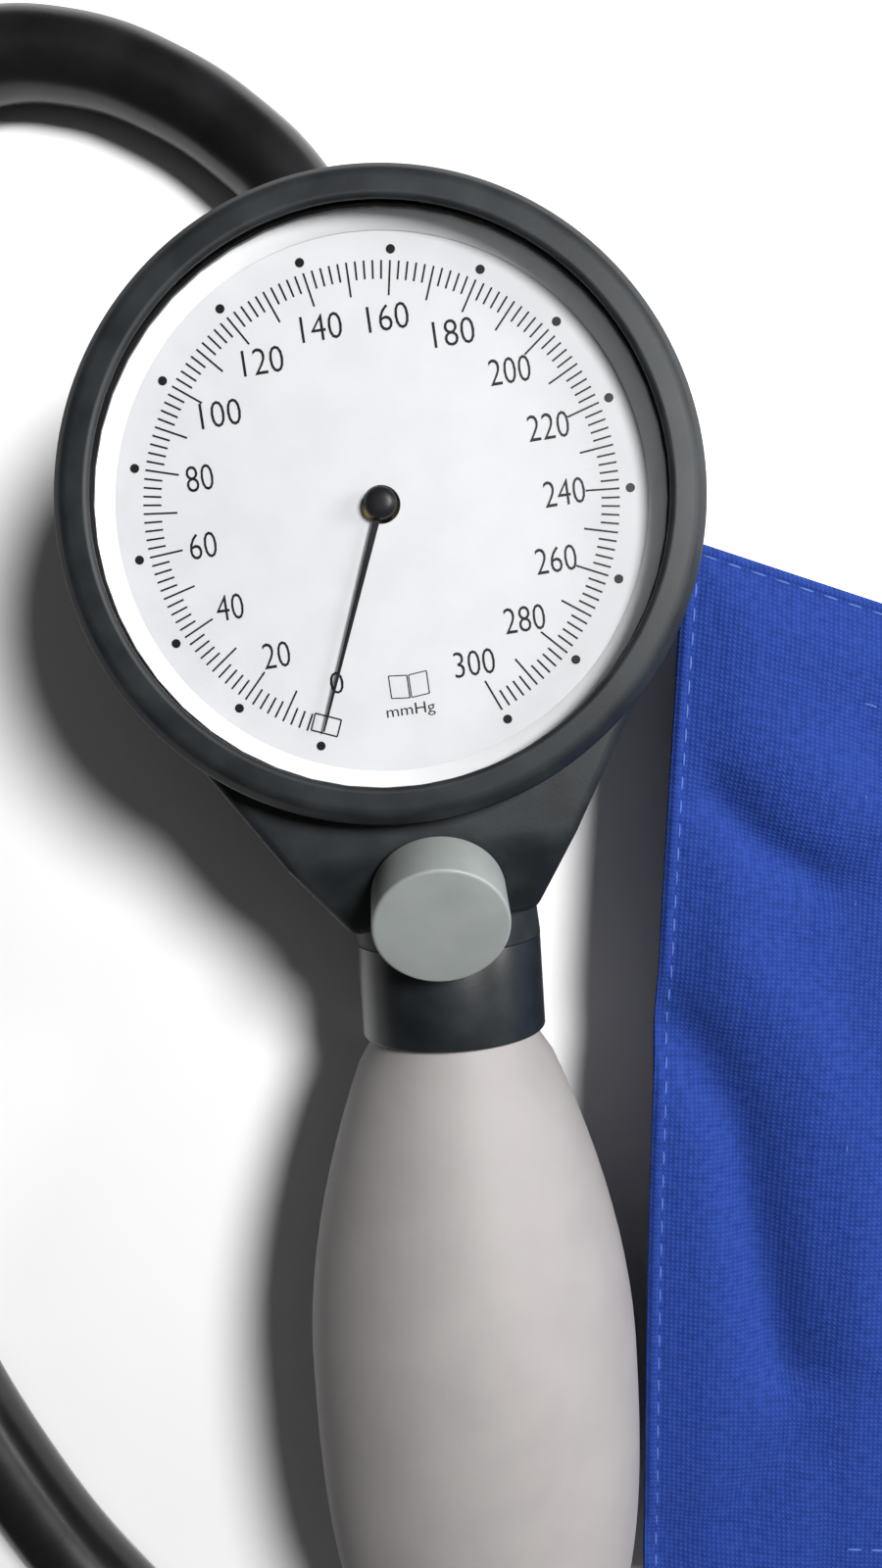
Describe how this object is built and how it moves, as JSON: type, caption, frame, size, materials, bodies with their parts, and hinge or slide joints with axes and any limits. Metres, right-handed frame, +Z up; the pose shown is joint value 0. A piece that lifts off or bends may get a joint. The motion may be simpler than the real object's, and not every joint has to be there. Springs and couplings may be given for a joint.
{
  "type": "blood pressure cuff",
  "caption": "Palm-type aneroid blood pressure set: round dial gauge with release-valve knob, squeeze bulb, rubber hose and a rolled-up fabric arm cuff.",
  "frame": {"origin": "on the surface the set lies on, under the middle of the box round everything but the hose", "axes": "+Z up, out of the dial; +Y from the bulb towards the gauge; +X towards the cuff"},
  "size_m": [0.2711, 0.2904, 0.0458],
  "materials": {
    "black_plastic": "satin charcoal moulded plastic",
    "gloss_black": "glossy black",
    "grey_plastic": "satin warm grey",
    "white_plastic": "white reflector",
    "dial_white": "matt white enamel with black scale",
    "ink_black": "matt black",
    "clear_window": "clear moulded window",
    "brass": "turned brass and bronze",
    "steel": "bright turned steel",
    "black_rubber": "smooth black rubber",
    "bulb_rubber": "smooth matt warm grey rubber",
    "blue_cloth": "royal blue plain-weave nylon",
    "hook_fastener": "hook tape",
    "loop_fastener": "napped loop tape"
  },
  "bodies": {
    "head_and_cuff": {"housing": "black_plastic", "rear_cover": "black_plastic", "rear_screw_1": "steel", "rear_screw_2": "steel", "rear_screw_3": "steel", "rear_screw_4": "steel", "plate_screw_1": "steel", "plate_screw_2": "steel", "plate_screw_3": "steel", "plate_screw_4": "steel", "bezel_ring": "black_plastic", "window": "clear_window", "window_seal": "black_rubber", "dial_ring": "white_plastic", "dial_plate": "dial_white", "dial_foot_1": "brass", "dial_foot_2": "brass", "hairspring": "brass", "movement_base_plate": "brass", "movement_top_plate": "brass", "pillar_1": "brass", "pillar_2": "brass", "pillar_3": "brass", "pillar_4": "brass", "diaphragm_capsule": "brass", "air_manifold": "black_plastic", "hose_nipple": "black_plastic", "valve_body": "brass", "bulb_collar": "gloss_black", "outlet_valve_body": "black_plastic", "outlet_valve_seat": "black_plastic", "bulb": "bulb_rubber", "inlet_valve_body": "steel", "inlet_valve_cap": "brass", "hose": "black_rubber", "bladder_port": "black_rubber", "bladder": "black_rubber", "cuff_outer_cloth": "blue_cloth", "cuff_inner_cloth": "blue_cloth", "hook_patch": "hook_fastener", "loop_patch": "loop_fastener"},
    "pointer": {"pointer": "ink_black", "pointer_hub": "ink_black", "pointer_arbor": "steel"},
    "sector": {"sector_gear": "brass"},
    "push_pin": {"push_pin": "steel"},
    "valve_lift": {"valve_seal": "black_rubber"},
    "valve_turn": {"valve_knob": "grey_plastic", "valve_spindle": "steel"},
    "outlet_disc": {"outlet_valve_disc": "black_rubber"},
    "inlet_disc": {"inlet_valve_disc": "black_rubber"}
  },
  "joints": [
    {"name": "sector_turn", "type": "hinge", "parent": "head_and_cuff", "child": "sector", "pos_m": [-0.06693, 0.05387, 0.0276], "axis": [0, 0, 1], "range_deg": [0, 39.38]},
    {"name": "pointer_spin", "type": "hinge", "parent": "head_and_cuff", "child": "pointer", "pos_m": [-0.06693, 0.06777, 0.039], "axis": [0, 0, -1], "range_deg": [0, 315]},
    {"name": "capsule_lift", "type": "slide", "parent": "head_and_cuff", "child": "push_pin", "axis": [0, 0, 1], "range_m": [0, 0.0015]},
    {"name": "valve_rise", "type": "slide", "parent": "head_and_cuff", "child": "valve_lift", "axis": [0, -0.454, 0.891], "range_m": [0, 0.0014]},
    {"name": "knob_turn", "type": "hinge", "parent": "valve_lift", "child": "valve_turn", "pos_m": [-0.06693, 0.02257, 0.0357], "axis": [0, -0.454, 0.891], "range_deg": [0, 720]},
    {"name": "outlet_valve", "type": "slide", "parent": "head_and_cuff", "child": "outlet_disc", "axis": [0.0802, 0.9968, 0], "range_m": [0, 0.0008]},
    {"name": "inlet_valve", "type": "slide", "parent": "head_and_cuff", "child": "inlet_disc", "axis": [0.0802, 0.9968, 0], "range_m": [0, 0.0008]}
  ],
  "couplings": [
    {"joint": "pointer_spin", "follows": "sector_turn", "ratio": 8},
    {"joint": "capsule_lift", "follows": "sector_turn", "m_per_rad": 0.0021827},
    {"joint": "knob_turn", "follows": "valve_rise", "rad_per_m": 8976}
  ]
}
